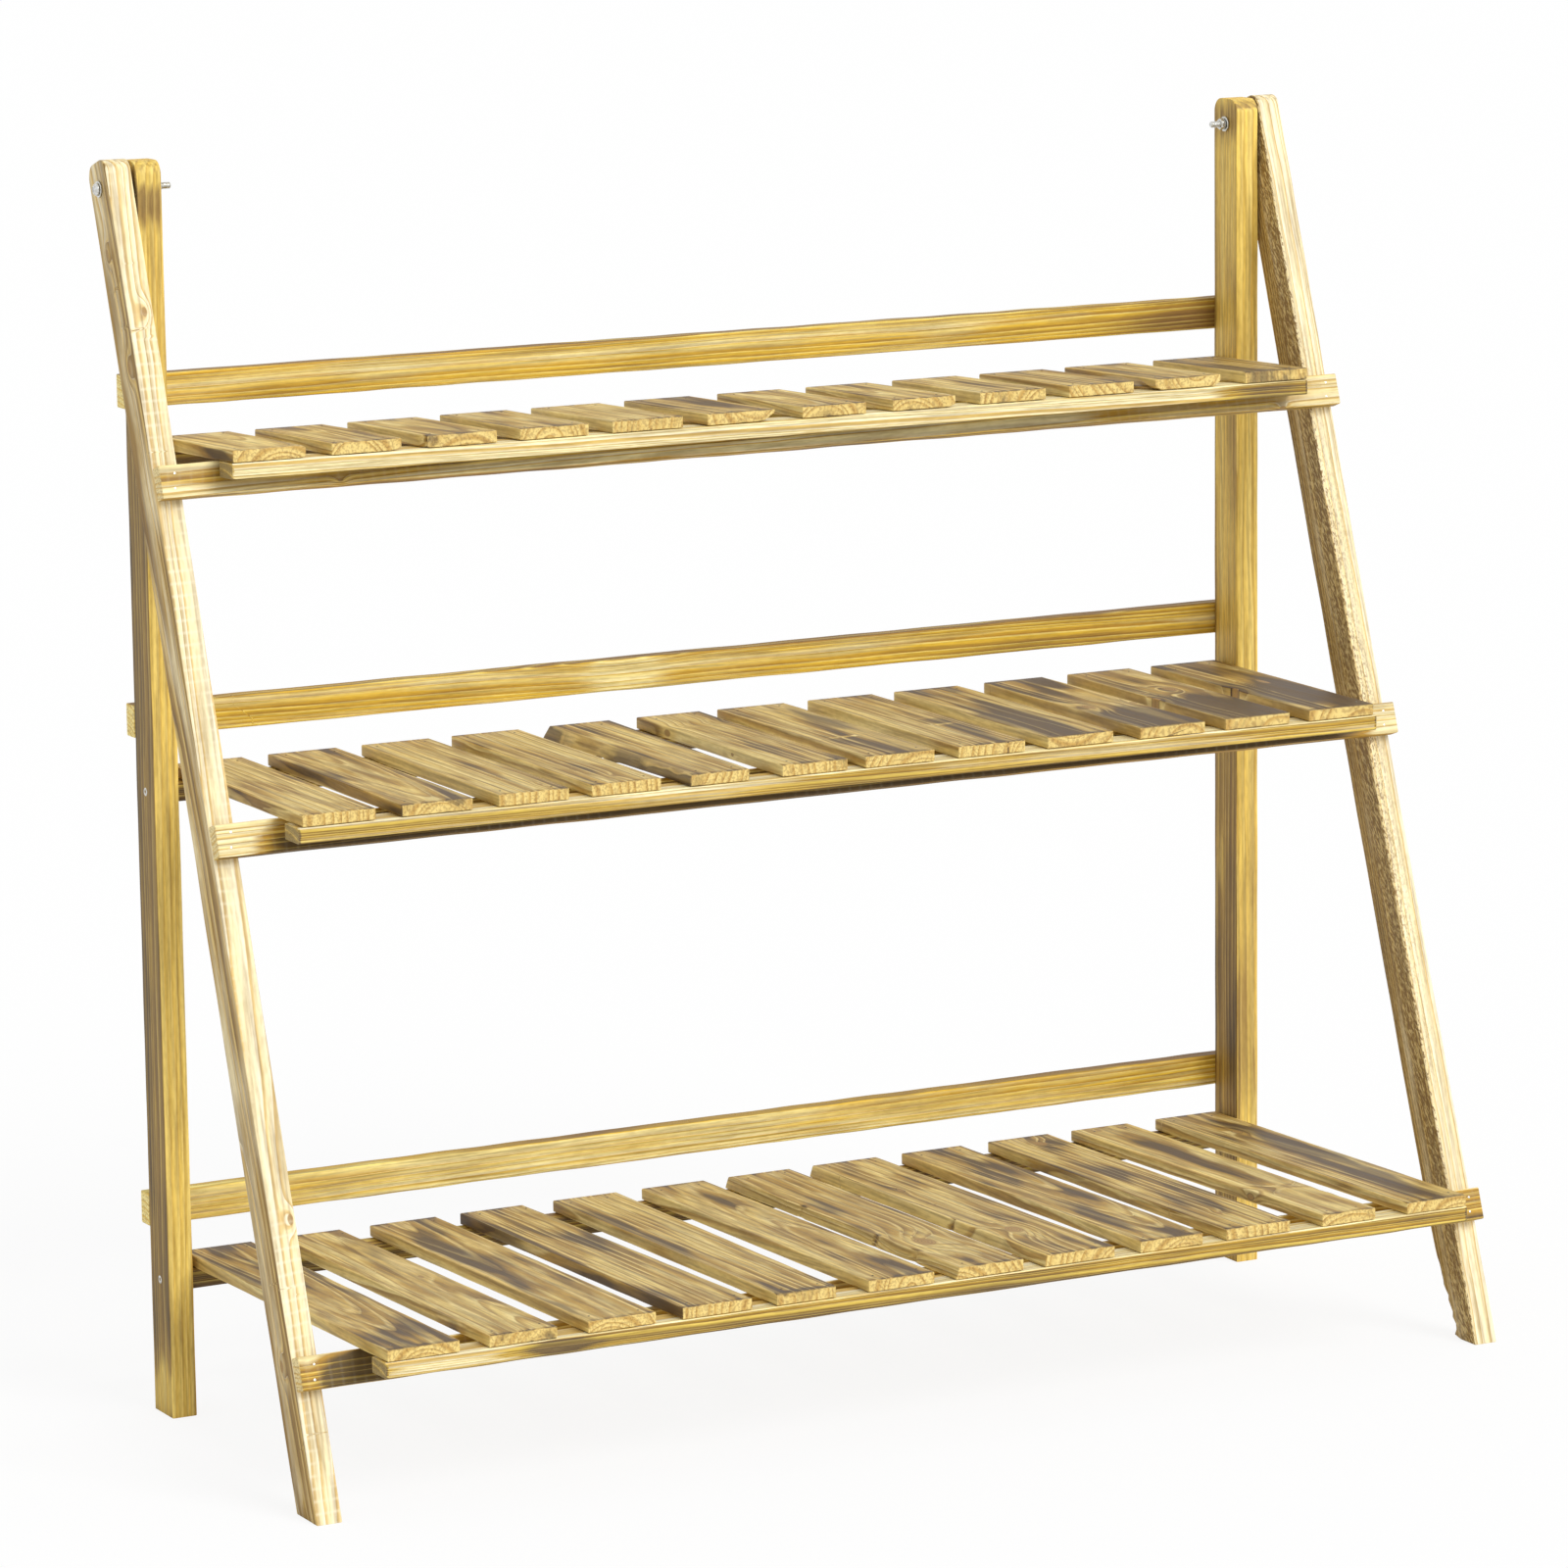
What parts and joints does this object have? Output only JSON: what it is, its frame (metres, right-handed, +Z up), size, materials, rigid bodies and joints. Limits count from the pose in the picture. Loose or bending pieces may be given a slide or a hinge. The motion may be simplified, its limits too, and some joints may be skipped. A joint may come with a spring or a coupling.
{
  "type": "plant ladder stand",
  "caption": "Folding wooden ladder stand for plants: a leaning front frame bolted to an upright rear frame, with slatted shelves that pivot up to store flat.",
  "frame": {"origin": "on the floor, at the middle of the stand's width and depth", "axes": "+X to the right along the shelves, +Y towards the upright rear frame, +Z up"},
  "size_m": [1.0096, 0.3902, 0.9446],
  "materials": {
    "front_wood": "scorched, brushed and oiled",
    "leg_wood": "scorched, brushed and oiled",
    "back_rail_wood": "scorched, brushed and oiled",
    "slat_wood": "scorched, brushed",
    "shelf_rail_wood": "scorched, brushed and oiled",
    "zinc": "bright zinc plated"
  },
  "bodies": {
    "rear_frame": {"rear_leg_left": "leg_wood", "rear_leg_right": "leg_wood", "back_rail_top": "back_rail_wood", "back_rail_middle": "back_rail_wood", "back_rail_bottom": "back_rail_wood", "hinge_bolt_left": "zinc", "hinge_outer_washer_left": "zinc", "hinge_inner_washer_left": "zinc", "hinge_nut_left": "zinc", "hinge_bolt_right": "zinc", "hinge_outer_washer_right": "zinc", "hinge_inner_washer_right": "zinc", "hinge_nut_right": "zinc"},
    "front_frame": {"front_leg_left": "front_wood", "front_leg_right": "front_wood", "front_rail_top": "front_wood", "front_rail_middle": "front_wood", "front_rail_bottom": "front_wood"},
    "shelf_top": {"shelf_top_back_rail": "shelf_rail_wood", "shelf_top_front_rail": "shelf_rail_wood", "shelf_top_slat_01": "slat_wood", "shelf_top_slat_02": "slat_wood", "shelf_top_slat_03": "slat_wood", "shelf_top_slat_04": "slat_wood", "shelf_top_slat_05": "slat_wood", "shelf_top_slat_06": "slat_wood", "shelf_top_slat_07": "slat_wood", "shelf_top_slat_08": "slat_wood", "shelf_top_slat_09": "slat_wood", "shelf_top_slat_10": "slat_wood", "shelf_top_slat_11": "slat_wood", "shelf_top_slat_12": "slat_wood"},
    "shelf_middle": {"shelf_middle_back_rail": "shelf_rail_wood", "shelf_middle_front_rail": "shelf_rail_wood", "shelf_middle_slat_01": "slat_wood", "shelf_middle_slat_02": "slat_wood", "shelf_middle_slat_03": "slat_wood", "shelf_middle_slat_04": "slat_wood", "shelf_middle_slat_05": "slat_wood", "shelf_middle_slat_06": "slat_wood", "shelf_middle_slat_07": "slat_wood", "shelf_middle_slat_08": "slat_wood", "shelf_middle_slat_09": "slat_wood", "shelf_middle_slat_10": "slat_wood", "shelf_middle_slat_11": "slat_wood", "shelf_middle_slat_12": "slat_wood"},
    "shelf_bottom": {"shelf_bottom_back_rail": "shelf_rail_wood", "shelf_bottom_front_rail": "shelf_rail_wood", "shelf_bottom_slat_01": "slat_wood", "shelf_bottom_slat_02": "slat_wood", "shelf_bottom_slat_03": "slat_wood", "shelf_bottom_slat_04": "slat_wood", "shelf_bottom_slat_05": "slat_wood", "shelf_bottom_slat_06": "slat_wood", "shelf_bottom_slat_07": "slat_wood", "shelf_bottom_slat_08": "slat_wood", "shelf_bottom_slat_09": "slat_wood", "shelf_bottom_slat_10": "slat_wood", "shelf_bottom_slat_11": "slat_wood", "shelf_bottom_slat_12": "slat_wood"}
  },
  "joints": [
    {"name": "front_frame_fold", "type": "hinge", "parent": "rear_frame", "child": "front_frame", "pos_m": [0, 0.16262, 0.923], "axis": [1, 0, 0], "range_deg": [0, 18.8]},
    {"name": "shelf_top_fold", "type": "hinge", "parent": "rear_frame", "child": "shelf_top", "pos_m": [0, 0.16262, 0.7213], "axis": [-1, 0, 0], "range_deg": [0, 88.15]},
    {"name": "shelf_middle_fold", "type": "hinge", "parent": "rear_frame", "child": "shelf_middle", "pos_m": [0, 0.16262, 0.4758], "axis": [-1, 0, 0], "range_deg": [0, 90.26]},
    {"name": "shelf_bottom_fold", "type": "hinge", "parent": "rear_frame", "child": "shelf_bottom", "pos_m": [0, 0.16262, 0.104], "axis": [-1, 0, 0], "range_deg": [0, 88.78]}
  ]
}
